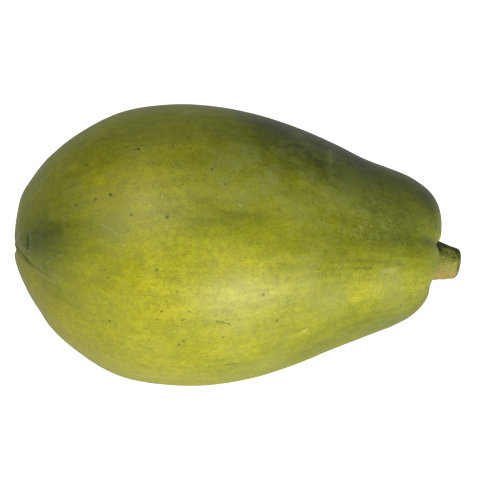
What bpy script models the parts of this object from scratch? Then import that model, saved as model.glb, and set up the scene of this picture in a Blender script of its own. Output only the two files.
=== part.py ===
"""A whole green papaya lying on its side, with the cut stub of its stem.

There are two pieces. The fruit is one solid pear shape with shallow lobes, a puckered blossom end and a sunk
seat for the stem at its square shoulders. The stem is the tapered stub that the fruit hung from.

Units are metres, +Z is up and +X runs from the blossom end to the stem. The origin is under the middle of the
object's box, on the surface that the fruit rests on. Directions round the fruit are angles from straight up,
turning towards the front, which is -Y.
"""

from math import cos, pi, radians, sin

import bmesh
import bpy
import numpy as np
from mathutils import Matrix, Vector

MM = 0.001

# Driving dimensions.
FRUIT_LENGTH = 213 * MM  # blossom end to the shoulder beside the stem
FRUIT_GIRTH = 140 * MM  # mean diameter at the widest ring
STEM_LENGTH = 18 * MM  # seat to cut end, along the stem
STEM_RADIUS = 10.6 * MM  # just above its seat, where it is widest
REST_SPOT_DEPTH = 1.3 * MM  # how far the flesh is flattened where the fruit lies
GAP = 0.3 * MM  # between the stem and its seat

RINGS = 48  # along the fruit
SECTORS = 48  # round the fruit
STEM_SECTORS = 24
CURVE_STEPS = 40  # between two points of the outline, before it is spaced evenly

# How the fruit lies: the narrow end droops, so that the middle of its weight is over the flat spot.
DROOP = radians(5.0)
# The stem and the shoulders lean towards this direction, front and a little below the middle.
LEAN_DIRECTION = radians(120)
SLANT = radians(8.5)
SLANT_START, SLANT_END = 0.80, 0.97  # shares of the length over which the shoulders take up the slant

# The outline: how far along the length, radius as a share of the largest, and how far the ring's centre leans
# as a share of the largest radius. It starts in the pucker of the blossom end and ends in the stem's seat.
OUTLINE = (
    (0.0140, 0.000, 0.045),
    (0.0045, 0.060, 0.030),
    (0.0015, 0.125, -0.010),
    (0.0135, 0.285, -0.050),
    (0.0375, 0.423, -0.039),
    (0.0610, 0.526, -0.036),
    (0.0845, 0.615, -0.025),
    (0.1315, 0.743, -0.018),
    (0.2020, 0.879, -0.011),
    (0.2720, 0.961, -0.007),
    (0.3660, 1.000, -0.004),
    (0.4600, 0.993, 0.000),
    (0.5540, 0.943, 0.000),
    (0.6480, 0.857, 0.000),
    (0.7420, 0.743, 0.000),
    (0.8120, 0.652, 0.010),
    (0.8590, 0.599, 0.018),
    (0.9060, 0.546, 0.030),
    (0.9500, 0.468, 0.046),
    (0.9760, 0.378, 0.054),
    (0.9840, 0.295, 0.062),
    (0.9780, 0.220, 0.074),
    (0.9680, 0.175, 0.083),
)
STEM_SEAT_LEAN = 0.083  # as a share of the largest radius

# Grooves between the lobes: direction at the blossom end, the middle and the stem end in degrees, then the
# depth there in millimetres, and half the width in degrees.
GROOVES = (
    (26, 19, 17, 0.6, 0.5, 1.7, 11),
    (50, 66, 70, 1.2, 0.4, 1.2, 13),
    (120, 135, 146, 0.9, 0.6, 1.5, 14),
    (195, 205, 214, 0.9, 0.6, 1.5, 14),
    (265, 280, 290, 0.9, 0.6, 1.5, 14),
)
# The end depths fade into the middle's depth over these shares of the length.
BLOSSOM_GROOVES_START, BLOSSOM_GROOVES_END = 0.0, 0.12
STEM_GROOVES_START, STEM_GROOVES_END = 0.66, 0.98
SMOOTH_POLE = 0.12  # grooves fade out towards the pucker's middle, inside this share of the largest radius


def smooth_step(value, low, high):
    """0 below low, 1 above high, and a smooth rise between them."""
    share = np.clip((value - low) / (high - low), 0.0, 1.0)
    return share * share * (3.0 - 2.0 * share)


def curve_through(points, count):
    """Points evenly spaced along a Catmull-Rom curve through the given ones."""
    knots = np.array(points, float)
    before = knots[1] * (1, -1, 1)  # the outline's mirror image across the axis
    after = 2 * knots[-1] - knots[-2]
    padded = np.vstack([before, knots, after])
    dense = []
    for first, start, end, last in zip(padded, padded[1:], padded[2:], padded[3:]):
        for t in np.linspace(0, 1, CURVE_STEPS, endpoint=False):
            dense.append(
                0.5 * (2 * start + (end - first) * t
                       + (2 * first - 5 * start + 4 * end - last) * t**2
                       + (3 * start - first - 3 * end + last) * t**3)
            )
    dense = np.array(dense + [knots[-1]])
    steps = np.hypot(np.diff(dense[:, 0]) * FRUIT_LENGTH, np.diff(dense[:, 1]) * FRUIT_GIRTH / 2)
    travelled = np.concatenate([[0], np.cumsum(steps)])
    wanted = np.linspace(0, travelled[-1], count)
    return np.stack([np.interp(wanted, travelled, dense[:, i]) for i in range(3)], axis=1)


def groove_depth(share, direction):
    """How deep the grooves between the lobes are, in metres, at a share of the length and a direction."""
    to_stem = smooth_step(share, STEM_GROOVES_START, STEM_GROOVES_END)
    to_blossom = 1 - smooth_step(share, BLOSSOM_GROOVES_START, BLOSSOM_GROOVES_END)
    middle = 1 - to_stem - to_blossom
    total = 0.0
    for at_blossom, at_middle, at_stem, blossom_mm, middle_mm, stem_mm, half_width in GROOVES:
        centre = np.radians(at_blossom * to_blossom + at_middle * middle + at_stem * to_stem)
        depth = (blossom_mm * to_blossom + middle_mm * middle + stem_mm * to_stem) * MM
        away = (direction - centre + pi) % (2 * pi) - pi
        total = total + depth * np.exp(-((away / radians(half_width)) ** 2))
    return total


def fruit_surface():
    """The skin as a grid of points in the fruit's own frame: x along it, y and z across it."""
    outline = curve_through(OUTLINE, RINGS)
    direction = np.linspace(0, 2 * pi, SECTORS, endpoint=False)[None, :]
    share = outline[:, :1]
    radius = outline[:, 1:2] * FRUIT_GIRTH / 2
    lean = outline[:, 2:3] * FRUIT_GIRTH / 2
    across_y = -np.sin(direction) * radius - sin(LEAN_DIRECTION) * lean
    across_z = np.cos(direction) * radius + cos(LEAN_DIRECTION) * lean
    towards_lean = -across_y * sin(LEAN_DIRECTION) + across_z * cos(LEAN_DIRECTION)
    slant = np.tan(SLANT) * smooth_step(share, SLANT_START, SLANT_END)
    along = share * FRUIT_LENGTH - slant * towards_lean
    points = np.stack([along, across_y, across_z], axis=-1)
    inward = np.cross(np.gradient(points, axis=0), np.roll(points, -1, 1) - np.roll(points, 1, 1))
    inward /= np.maximum(np.linalg.norm(inward, axis=-1, keepdims=True), 1e-12)
    depth = groove_depth(share, direction) * smooth_step(outline[:, 1:2], 0.0, SMOOTH_POLE)
    return points + inward * depth[..., None]


def skin_of(rings):
    """A closed bmesh over a grid of points, whose first and last rings close in a fan."""
    mesh = bmesh.new()
    first = mesh.verts.new(rings[0].mean(axis=0))
    last = mesh.verts.new(rings[-1].mean(axis=0))
    rows = [[mesh.verts.new(point) for point in ring] for ring in rings[1:]]
    around = len(rings[0])
    for i in range(around):
        j = (i + 1) % around
        mesh.faces.new((first, rows[0][j], rows[0][i]))
        mesh.faces.new((last, rows[-1][i], rows[-1][j]))
        for near, far in zip(rows, rows[1:]):
            mesh.faces.new((near[i], near[j], far[j], far[i]))
    bmesh.ops.recalc_face_normals(mesh, faces=mesh.faces)
    return mesh


def lying_down():
    """Turns the fruit's own frame so that its narrow end droops."""
    return Matrix.Rotation(DROOP, 4, "Y")


def flatten_underneath(mesh, floor):
    """Cuts the bmesh off level at the floor's height, and closes the cut with one flat face."""
    whole = mesh.verts[:] + mesh.edges[:] + mesh.faces[:]
    cut = bmesh.ops.bisect_plane(mesh, geom=whole, plane_co=(0, 0, floor), plane_no=(0, 0, -1), clear_outer=True)
    rim = [item for item in cut["geom_cut"] if isinstance(item, bmesh.types.BMEdge)]
    bmesh.ops.edgeloop_fill(mesh, edges=rim)
    bmesh.ops.recalc_face_normals(mesh, faces=mesh.faces)


def material(name, colour, roughness):
    """A plain Principled material."""
    made = bpy.data.materials.new(name)
    made.use_nodes = True
    shader = made.node_tree.nodes["Principled BSDF"]
    shader.inputs["Base Color"].default_value = (*colour, 1)
    shader.inputs["Roughness"].default_value = roughness
    shader.inputs["Metallic"].default_value = 0
    return made


def add_object(name, mesh, finish):
    """Puts a bmesh in the scene as an object, shaded smooth but for its sharp edges."""
    data = bpy.data.meshes.new(name)
    mesh.to_mesh(data)
    mesh.free()
    data.materials.append(finish)
    data.shade_smooth()
    data.set_sharp_from_angle(angle=radians(40))
    made = bpy.data.objects.new(name, data)
    bpy.context.scene.collection.objects.link(made)
    return made


def build_fruit():
    """The fruit, resting at z = 0 on its flat spot."""
    mesh = skin_of(fruit_surface())
    bmesh.ops.transform(mesh, matrix=lying_down(), verts=mesh.verts)
    lowest = min(vertex.co.z for vertex in mesh.verts)
    flatten_underneath(mesh, lowest + REST_SPOT_DEPTH)
    lift = -(lowest + REST_SPOT_DEPTH)
    bmesh.ops.translate(mesh, vec=(0, 0, lift), verts=mesh.verts)
    skin = material("papaya_skin", (0.30, 0.31, 0.03), 0.42)
    return add_object("fruit", mesh, skin), lift


def build_stem(lift):
    """The stem's stub, standing in its seat. It flares at the base and its cut end has a worn edge."""
    profile = (
        (0.00, 0.92),
        (0.08, 0.99),
        (0.20, 1.00),
        (0.33, 0.965),
        (0.46, 0.91),
        (0.69, 0.815),
        (0.87, 0.745),
        (0.96, 0.69),
        (1.00, 0.58),
    )
    direction = np.linspace(0, 2 * pi, STEM_SECTORS, endpoint=False)
    rings = []
    for share, width in ((0.0, 0.0), *profile):
        radius = width * STEM_RADIUS
        along = np.full_like(direction, share * STEM_LENGTH)
        rings.append(np.stack([along, -np.sin(direction) * radius, np.cos(direction) * radius], axis=-1))
    mesh = skin_of(np.array(rings))
    lean = Vector((0, -sin(LEAN_DIRECTION), cos(LEAN_DIRECTION)))
    turn = Vector((1, 0, 0)).rotation_difference(Vector((cos(SLANT), 0, 0)) + lean * sin(SLANT))
    seat_lean = STEM_SEAT_LEAN * FRUIT_GIRTH / 2
    seat_along = OUTLINE[-1][0] * FRUIT_LENGTH - np.tan(SLANT) * seat_lean
    seat = Vector((seat_along + GAP / cos(SLANT), 0, 0)) + lean * seat_lean
    place = Matrix.Translation((0, 0, lift)) @ lying_down() @ Matrix.Translation(seat) @ turn.to_matrix().to_4x4()
    bmesh.ops.transform(mesh, matrix=place, verts=mesh.verts)
    return add_object("stem", mesh, material("papaya_stem", (0.20, 0.20, 0.05), 0.75))


def centre_over_origin(objects):
    """Moves the objects so that the origin is under the middle of their box."""
    corners = np.array([vertex.co for item in objects for vertex in item.data.vertices])
    middle = (corners.min(axis=0) + corners.max(axis=0)) / 2
    for item in objects:
        item.data.transform(Matrix.Translation((-middle[0], -middle[1], 0)))


def main():
    for item in list(bpy.data.objects):
        bpy.data.objects.remove(item)
    fruit, lift = build_fruit()
    stem = build_stem(lift)
    centre_over_origin([fruit, stem])


main()
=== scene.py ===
"""A whole green papaya lying on its side on a plain pale floor, with the cut stub of its stem.

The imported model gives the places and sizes. The fruit and the stem each have a piece here that stands
for the solid, with the fine shape and the finish. Units are metres, +Z is up and +X runs from the blossom
end to the stem.

A share is how far along the fruit a place is, from 0 at the blossom end to 1 at the shoulders. A turn is
a direction round the fruit, in degrees from straight up, turning towards the front, which is -Y.
"""

import logging
from collections.abc import Iterable, Sequence
from dataclasses import asdict, dataclass, field
from enum import Enum
from math import cos, pi, radians, sin, tan
from random import Random

import bpy
import numpy as np
from mathutils import Matrix, Vector, noise


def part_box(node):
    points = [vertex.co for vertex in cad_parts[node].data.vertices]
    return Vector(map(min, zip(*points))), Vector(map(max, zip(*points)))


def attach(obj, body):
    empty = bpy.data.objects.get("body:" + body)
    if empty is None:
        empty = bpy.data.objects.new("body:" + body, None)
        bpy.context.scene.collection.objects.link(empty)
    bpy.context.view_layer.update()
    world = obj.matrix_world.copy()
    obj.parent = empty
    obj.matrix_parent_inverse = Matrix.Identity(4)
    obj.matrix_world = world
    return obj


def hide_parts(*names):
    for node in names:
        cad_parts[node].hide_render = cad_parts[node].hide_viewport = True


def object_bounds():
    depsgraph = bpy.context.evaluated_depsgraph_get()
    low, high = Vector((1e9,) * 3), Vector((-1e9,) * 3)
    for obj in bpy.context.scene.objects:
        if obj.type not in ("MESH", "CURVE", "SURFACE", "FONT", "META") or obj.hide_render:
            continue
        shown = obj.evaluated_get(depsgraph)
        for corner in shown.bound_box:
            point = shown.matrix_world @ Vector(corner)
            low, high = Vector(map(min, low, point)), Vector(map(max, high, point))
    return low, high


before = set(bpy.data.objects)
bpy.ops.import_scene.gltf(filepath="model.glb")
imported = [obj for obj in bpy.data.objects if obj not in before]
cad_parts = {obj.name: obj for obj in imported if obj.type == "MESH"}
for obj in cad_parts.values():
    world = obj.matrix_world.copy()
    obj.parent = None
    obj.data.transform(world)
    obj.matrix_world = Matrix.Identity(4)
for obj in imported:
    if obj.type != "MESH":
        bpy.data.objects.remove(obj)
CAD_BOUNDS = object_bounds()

log = logging.getLogger("papaya")

MM = 0.001
TINY = 1e-12
BODY = "root"

Colour = tuple[float, float, float]
Place = tuple[float, float]  # a share and a turn
Socket = bpy.types.NodeSocket
Value = float | Socket


def smooth_step(value: np.ndarray, low: float, high: float) -> np.ndarray:
    """0 below low, 1 above high, and a smooth rise between them."""
    share = np.clip((value - low) / (high - low), 0.0, 1.0)
    return share * share * (3.0 - 2.0 * share)


def turn_apart(turn: np.ndarray, other: float | np.ndarray) -> np.ndarray:
    """How far one turn is from another the short way round, in degrees, from -180 to 180."""
    return (turn - other + 180.0) % 360.0 - 180.0


def fit_to_node(points: np.ndarray, node: str) -> np.ndarray:
    """Moves points, and stretches them by a hair, so that their box is the box of a CAD node.

    Args:
        points: The points, one row each.
        node: The CAD node's name.

    Returns:
        The fitted points.
    """
    low, high = (np.array(corner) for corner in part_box(node))
    own_low = points.min(axis=0)
    own_high = points.max(axis=0)
    return low + (points - own_low) * (high - low) / (own_high - own_low)


def lumps(points: np.ndarray, size: Sequence[float], octaves: int, seed: float) -> np.ndarray:
    """Smooth uneven values at points, from about -1 to 1.

    Args:
        points: The points, one row each.
        size: How big the lumps are along x, y and z.
        octaves: How many finer layers of lumps there are.
        seed: Another number gives other lumps.

    Returns:
        One value for each point.
    """
    scaled = points / np.array(size) + seed
    return np.array([noise.fractal(point, 1.0, 2.1, octaves) for point in scaled])


def mesh_of_rings(name: str, rings: np.ndarray) -> bpy.types.Mesh:
    """A smooth closed mesh over rings of points.

    The first ring is a single place, and the last closes in a fan.

    Args:
        name: The mesh's name.
        rings: The points, ring by ring.

    Returns:
        The mesh.
    """
    grid = rings[1:]
    rows, columns = grid.shape[:2]
    index = np.arange(rows * columns).reshape(rows, columns)
    beside = np.roll(index, -1, axis=1)
    quads = np.stack([index[:-1], beside[:-1], beside[1:], index[1:]], axis=-1).reshape(-1, 4)
    first_pole = rows * columns
    faces = quads.tolist()
    faces += [(first_pole, b, a) for a, b in zip(index[0].tolist(), beside[0].tolist())]
    faces += [(first_pole + 1, a, b) for a, b in zip(index[-1].tolist(), beside[-1].tolist())]
    mesh = bpy.data.meshes.new(name)
    mesh.from_pydata(in_mesh_order(rings).tolist(), [], faces)
    mesh.shade_smooth()
    return mesh


def in_mesh_order(values: np.ndarray) -> np.ndarray:
    """Values held ring by ring, in the order of a ring mesh's points.

    Args:
        values: The values, ring by ring.

    Returns:
        One row for each of the mesh's points.
    """
    values = values.reshape(*values.shape[:2], -1)
    poles = [values[0].mean(axis=0), values[-1].mean(axis=0)]
    return np.vstack([values[1:].reshape(-1, values.shape[-1]), poles])


def hold(mesh: bpy.types.Mesh, name: str, values: np.ndarray) -> None:
    """Keeps a number, or a vector, at each point of a ring mesh, for its material to read.

    Args:
        mesh: The mesh.
        name: The name that the material reads it by.
        values: The values, ring by ring.
    """
    wide = values.ndim == 3
    kept = mesh.attributes.new(name, "FLOAT_VECTOR" if wide else "FLOAT", "POINT")
    kept.data.foreach_set("vector" if wide else "value", in_mesh_order(values).astype(np.float32).ravel())


def add_piece(
    name: str, mesh: bpy.types.Mesh, material: bpy.types.Material, node: str
) -> None:
    """Puts a piece in the scene in place of its CAD node.

    Args:
        name: The piece's name.
        mesh: Its mesh.
        material: Its finish.
        node: The CAD node that it stands for.
    """
    mesh.materials.append(material)
    piece = bpy.data.objects.new(name, mesh)
    bpy.context.scene.collection.objects.link(piece)
    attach(piece, BODY)
    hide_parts(node)
    log.info("%s: %d points, %d faces", name, len(mesh.vertices), len(mesh.polygons))


# --------------------------------------------------------------------------------------------------
# Nodes
# --------------------------------------------------------------------------------------------------


class Blend(Enum):
    """How one colour goes over another."""

    MIX = "MIX"
    MULTIPLY = "MULTIPLY"


@dataclass(frozen=True)
class Texture:
    """Smooth noise: how many lumps it has in a metre, its finer layers and how strong they are."""

    scale: float
    detail: float = 2.0
    roughness: float = 0.5


@dataclass(frozen=True)
class Streaks:
    """Streaks along a piece: how drawn out and how fine they are, and how far they fade into each other."""

    stretch: float
    scale: float
    contrast: float


@dataclass(frozen=True)
class Specks:
    """Round specks: how close together, how large, and the share of their places that has one."""

    scale: float
    size: float
    amount: float


@dataclass(frozen=True)
class Cracks:
    """A net of cracks: how fine the net is, how wide its lines are, and how much of it shows."""

    scale: float
    width: float
    amount: float


class NodeBoard:
    """Adds nodes to one material or group, and joins them up."""

    def __init__(self, tree: bpy.types.NodeTree) -> None:
        """Starts on a tree."""
        self.tree = tree

    def add(self, kind: str, **settings: object) -> bpy.types.Node:
        """Adds a node of a kind, with its settings.

        Args:
            kind: The node's type.
            settings: The node's own settings, by name.

        Returns:
            The node.
        """
        node = self.tree.nodes.new(kind)
        for name, value in settings.items():
            setattr(node, name, value)
        return node

    def feed(self, target: Socket, value: object) -> None:
        """Joins a socket to a target, or sets the target's own value.

        Args:
            target: The input socket.
            value: A socket to join, or a value to set.
        """
        if isinstance(value, bpy.types.NodeSocket):
            self.tree.links.new(value, target)
        elif isinstance(value, tuple) and target.type == "RGBA" and len(value) == 3:
            target.default_value = (*value, 1.0)
        else:
            target.default_value = value

    def math(self, operation: str, first: Value, second: Value = 0.0, clamp: bool = False) -> Socket:
        """One step of arithmetic.

        Args:
            operation: The Math node's operation.
            first: The first number.
            second: The second number, where the operation has one.
            clamp: Whether the result is kept from 0 to 1.

        Returns:
            The result's socket.
        """
        node = self.add("ShaderNodeMath", operation=operation, use_clamp=clamp)
        self.feed(node.inputs[0], first)
        self.feed(node.inputs[1], second)
        return node.outputs[0]

    def vector(
        self, operation: str, first: object, second: object = None, scale: Value | None = None
    ) -> bpy.types.Node:
        """One step of vector arithmetic.

        Args:
            operation: The Vector Math node's operation.
            first: The first vector.
            second: The second vector, where the operation has one.
            scale: The factor, for SCALE.

        Returns:
            The node.
        """
        node = self.add("ShaderNodeVectorMath", operation=operation)
        self.feed(node.inputs[0], first)
        if second is not None:
            self.feed(node.inputs[1], second)
        if scale is not None:
            self.feed(node.inputs["Scale"], scale)
        return node

    def remap(
        self, value: Value, low: Value, high: Value, to_low: Value = 0.0, to_high: Value = 1.0
    ) -> Socket:
        """Maps low to high onto to_low to to_high, with a smooth start and end.

        Args:
            value: The number to map.
            low: Where the change starts.
            high: Where the change ends.
            to_low: The result at low.
            to_high: The result at high.

        Returns:
            The result's socket.
        """
        node = self.add("ShaderNodeMapRange", interpolation_type="SMOOTHSTEP")
        names = ("Value", "From Min", "From Max", "To Min", "To Max")
        for name, given in zip(names, (value, low, high, to_low, to_high)):
            self.feed(node.inputs[name], given)
        return node.outputs["Result"]

    def texture(self, vector: Socket, texture: Texture) -> Socket:
        """Smooth noise from 0 to 1 with a texture's values."""
        return self.noise(vector, texture.scale, texture.detail, texture.roughness)

    def uneven(self, value: Socket, amount: float) -> Socket:
        """A value from 0 to 1 turned into a push either way, as strong as the amount."""
        return self.math("MULTIPLY", self.math("SUBTRACT", value, 0.5), amount)

    def noise(self, vector: Socket, scale: Value, detail: float = 2.0, roughness: float = 0.5) -> Socket:
        """Smooth noise from 0 to 1.

        Args:
            vector: Where the noise is read.
            scale: How many lumps there are in a metre.
            detail: How many finer layers it has.
            roughness: How strong the finer layers are.

        Returns:
            The noise's socket.
        """
        node = self.add("ShaderNodeTexNoise")
        self.feed(node.inputs["Vector"], vector)
        self.feed(node.inputs["Scale"], scale)
        self.feed(node.inputs["Detail"], detail)
        self.feed(node.inputs["Roughness"], roughness)
        return node.outputs["Fac"]

    def mix(self, factor: Value, first: object, second: object, blend: Blend = Blend.MIX) -> Socket:
        """Lays one colour over another.

        Args:
            factor: How much of the second colour there is.
            first: The colour underneath.
            second: The colour on top.
            blend: How they go together.

        Returns:
            The colour's socket.
        """
        node = self.add("ShaderNodeMix", data_type="RGBA", blend_type=blend.value)
        self.feed(node.inputs["Factor"], factor)
        self.feed(node.inputs[6], first)
        self.feed(node.inputs[7], second)
        return node.outputs[2]

    def ramp(self, factor: Socket, stops: Sequence[tuple[float, Colour]]) -> Socket:
        """A run of colours.

        Args:
            factor: Where on the run to read.
            stops: Where each colour is, and the colour.

        Returns:
            The colour's socket.
        """
        node = self.add("ShaderNodeValToRGB")
        elements = node.color_ramp.elements
        while len(elements) < len(stops):
            elements.new(0.5)
        for element, (position, colour) in zip(elements, stops):
            element.position = position
            element.color = (*colour, 1.0)
        self.feed(node.inputs["Fac"], factor)
        return node.outputs["Color"]

    def attribute(self, name: str) -> Socket:
        """Reads a number that the mesh holds at each of its points."""
        return self.add("ShaderNodeAttribute", attribute_name=name).outputs["Fac"]

    def group(self, tree: bpy.types.NodeTree, **inputs: object) -> Socket:
        """Places a node group with its own values.

        Args:
            tree: The group.
            inputs: A value or socket for each input, by its name in lower case.

        Returns:
            The group's first output.
        """
        node = self.add("ShaderNodeGroup", node_tree=tree)
        for name, value in inputs.items():
            self.feed(node.inputs[name.replace("_", " ").capitalize()], value)
        return node.outputs[0]


class Effects:
    """The node groups, each built once and placed in a material with its own values."""

    def __init__(self) -> None:
        """Builds the groups."""
        self.streaks = self._build_streaks()
        self.specks = self._build_specks()
        self.stroke = self._build_stroke()
        self.cracks = self._build_cracks()

    @staticmethod
    def _start(
        name: str, inputs: Sequence[tuple[str, str, object]], output: str
    ) -> tuple[NodeBoard, dict[str, Socket], Socket]:
        """Starts a group with named sockets.

        Args:
            name: The group's name.
            inputs: Each input's name, socket type and starting value.
            output: The output's name.

        Returns:
            The board to build on, the inputs by name, and the socket to feed the result to.
        """
        tree = bpy.data.node_groups.new(name, "ShaderNodeTree")
        for label, kind, start in inputs:
            socket = tree.interface.new_socket(label, in_out="INPUT", socket_type=kind)
            socket.default_value = start
        tree.interface.new_socket(output, in_out="OUTPUT", socket_type="NodeSocketFloat")
        board = NodeBoard(tree)
        sources = board.add("NodeGroupInput").outputs
        result = board.add("NodeGroupOutput").inputs[0]
        return board, {label: sources[label] for label, _, _ in inputs}, result

    def _build_streaks(self) -> bpy.types.NodeTree:
        """Streaks that run along the piece: noise drawn out along x.

        Returns:
            The group.
        """
        board, given, result = self._start(
            "Streaks",
            (
                ("Position", "NodeSocketVector", (0.0, 0.0, 0.0)),
                ("Stretch", "NodeSocketFloat", 6.0),
                ("Scale", "NodeSocketFloat", 200.0),
                ("Contrast", "NodeSocketFloat", 0.3),
            ),
            "Value",
        )
        parts = board.add("ShaderNodeSeparateXYZ")
        board.feed(parts.inputs[0], given["Position"])
        joined = board.add("ShaderNodeCombineXYZ")
        board.feed(joined.inputs[0], board.math("DIVIDE", parts.outputs[0], given["Stretch"]))
        board.feed(joined.inputs[1], parts.outputs[1])
        board.feed(joined.inputs[2], parts.outputs[2])
        value = board.noise(joined.outputs[0], given["Scale"], detail=3.0, roughness=0.6)
        low = board.math("SUBTRACT", 0.5, given["Contrast"])
        high = board.math("ADD", 0.5, given["Contrast"])
        board.feed(result, board.remap(value, low, high))
        return board.tree

    def _build_specks(self) -> bpy.types.NodeTree:
        """Scattered round specks of uneven size, some of the places left bare.

        Returns:
            The group.
        """
        board, given, result = self._start(
            "Specks",
            (
                ("Position", "NodeSocketVector", (0.0, 0.0, 0.0)),
                ("Scale", "NodeSocketFloat", 100.0),
                ("Size", "NodeSocketFloat", 0.1),
                ("Amount", "NodeSocketFloat", 0.5),
            ),
            "Mask",
        )
        cells = board.add("ShaderNodeTexVoronoi", feature="F1")
        board.feed(cells.inputs["Vector"], given["Position"])
        board.feed(cells.inputs["Scale"], given["Scale"])
        chance = board.add("ShaderNodeSeparateColor")
        board.feed(chance.inputs[0], cells.outputs["Color"])
        radius = board.math("MULTIPLY", given["Size"], board.remap(chance.outputs[1], 0.0, 1.0, 0.35, 1.0))
        inner = board.math("MULTIPLY", radius, 0.45)
        spot = board.remap(cells.outputs["Distance"], inner, radius, 1.0, 0.0)
        kept = board.math("LESS_THAN", chance.outputs[0], given["Amount"])
        board.feed(result, board.math("MULTIPLY", spot, kept))
        return board.tree

    def _build_stroke(self) -> bpy.types.NodeTree:
        """One straight mark with round ends, from a start to an end.

        Returns:
            The group.
        """
        board, given, result = self._start(
            "Stroke",
            (
                ("Position", "NodeSocketVector", (0.0, 0.0, 0.0)),
                ("Start", "NodeSocketVector", (0.0, 0.0, 0.0)),
                ("End", "NodeSocketVector", (0.0, 0.0, 0.001)),
                ("Radius", "NodeSocketFloat", 0.001),
                ("Softness", "NodeSocketFloat", 0.5),
            ),
            "Mask",
        )
        from_start = board.vector("SUBTRACT", given["Position"], given["Start"]).outputs[0]
        run = board.vector("SUBTRACT", given["End"], given["Start"]).outputs[0]
        along = board.vector("DOT_PRODUCT", from_start, run).outputs["Value"]
        length_squared = board.vector("DOT_PRODUCT", run, run).outputs["Value"]
        # Two plain limits, because a clamp in each mark makes many marks more than the renderer can hold.
        share = board.math("MAXIMUM", board.math("DIVIDE", along, length_squared), 0.0)
        share = board.math("MINIMUM", share, 1.0)
        nearest = board.vector("SCALE", run, scale=share).outputs[0]
        away = board.vector("SUBTRACT", from_start, nearest).outputs[0]
        distance = board.vector("LENGTH", away).outputs["Value"]
        inner = board.math("MULTIPLY", given["Radius"], board.math("SUBTRACT", 1.0, given["Softness"]))
        board.feed(result, board.remap(distance, inner, given["Radius"], 1.0, 0.0))
        return board.tree

    def _build_cracks(self) -> bpy.types.NodeTree:
        """A net of fine cracks, broken up so that only stretches of it show.

        Returns:
            The group.
        """
        board, given, result = self._start(
            "Cracks",
            (
                ("Position", "NodeSocketVector", (0.0, 0.0, 0.0)),
                ("Scale", "NodeSocketFloat", 300.0),
                ("Width", "NodeSocketFloat", 0.08),
                ("Amount", "NodeSocketFloat", 0.5),
            ),
            "Mask",
        )
        cells = board.add("ShaderNodeTexVoronoi", feature="DISTANCE_TO_EDGE")
        board.feed(cells.inputs["Vector"], given["Position"])
        board.feed(cells.inputs["Scale"], given["Scale"])
        line = board.remap(cells.outputs["Distance"], 0.0, given["Width"], 1.0, 0.0)
        patches = board.noise(given["Position"], board.math("MULTIPLY", given["Scale"], 0.45), detail=2.0)
        edge = board.math("SUBTRACT", 1.0, given["Amount"])
        full = board.math("ADD", edge, 0.15)
        board.feed(result, board.math("MULTIPLY", line, board.remap(patches, edge, full)))
        return board.tree


def new_material(name: str) -> tuple[bpy.types.Material, NodeBoard, bpy.types.Node]:
    """Makes a material with a Principled shader.

    Args:
        name: The material's name.

    Returns:
        The material, the board to build on, and the shader.
    """
    material = bpy.data.materials.new(name)
    material.use_nodes = True
    return material, NodeBoard(material.node_tree), material.node_tree.nodes["Principled BSDF"]


# --------------------------------------------------------------------------------------------------
# The fruit
# --------------------------------------------------------------------------------------------------


@dataclass(frozen=True)
class Groove:
    """A shallow valley between two lobes, which runs the length of the fruit.

    The turns and depths are at the blossom end, the middle and the stem end.
    """

    turns: tuple[float, float, float]
    depths: tuple[float, float, float]
    half_width: float


@dataclass(frozen=True)
class Crease:
    """A fold in the skin that follows some places, deepest at its start."""

    places: tuple[Place, ...]
    depth: float
    half_width: float
    lip: float


@dataclass(frozen=True)
class Dent:
    """A soft hollow in the skin, longer one way than the other."""

    place: Place
    half_length: float
    half_spread: float
    depth: float


@dataclass(frozen=True)
class Patch:
    """A soft-edged stretch of skin, half its length and spread, and how much it changes there."""

    place: Place
    half_length: float
    half_spread: float
    amount: float


class MarkKind(Enum):
    """What a small mark on the skin looks like."""

    DARK = "dark"
    PALE = "pale"


@dataclass(frozen=True)
class Mark:
    """A small mark on the skin, from a start to an end, which are one place for a dot."""

    kind: MarkKind
    start: Place
    end: Place
    radius: float
    strength: float
    softness: float = 0.7


def dots(kind: MarkKind, radius: float, strength: float, places: Iterable[Place]) -> tuple[Mark, ...]:
    """Marks that are dots of one size.

    Args:
        kind: What they look like.
        radius: Their radius.
        strength: How clearly they show, from 0 to 1.
        places: Where they are.

    Returns:
        The marks.
    """
    return tuple(Mark(kind, place, place, radius, strength) for place in places)


def strewn(
    kind: MarkKind, radius: float, strength: float, count: int, shares: Place, turns: Place, seed: int
) -> tuple[Mark, ...]:
    """Marks that are dots of one size, strewn by chance over a stretch of skin.

    Args:
        kind: What they look like.
        radius: Their radius.
        strength: How clearly they show, from 0 to 1.
        count: How many there are.
        shares: The shares that the stretch runs between.
        turns: The turns that it runs between.
        seed: Another number strews them otherwise.

    Returns:
        The marks.
    """
    chance = Random(seed)
    places = [(chance.uniform(*shares), chance.uniform(*turns)) for _ in range(count)]
    return dots(kind, radius, strength, places)


def line(kind: MarkKind, radius: float, strength: float, places: Sequence[Place]) -> tuple[Mark, ...]:
    """Marks that join up in one line.

    Args:
        kind: What they look like.
        radius: Half the line's width.
        strength: How clearly it shows, from 0 to 1.
        places: The places that the line joins.

    Returns:
        The marks.
    """
    return tuple(Mark(kind, start, end, radius, strength) for start, end in zip(places, places[1:]))


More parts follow.
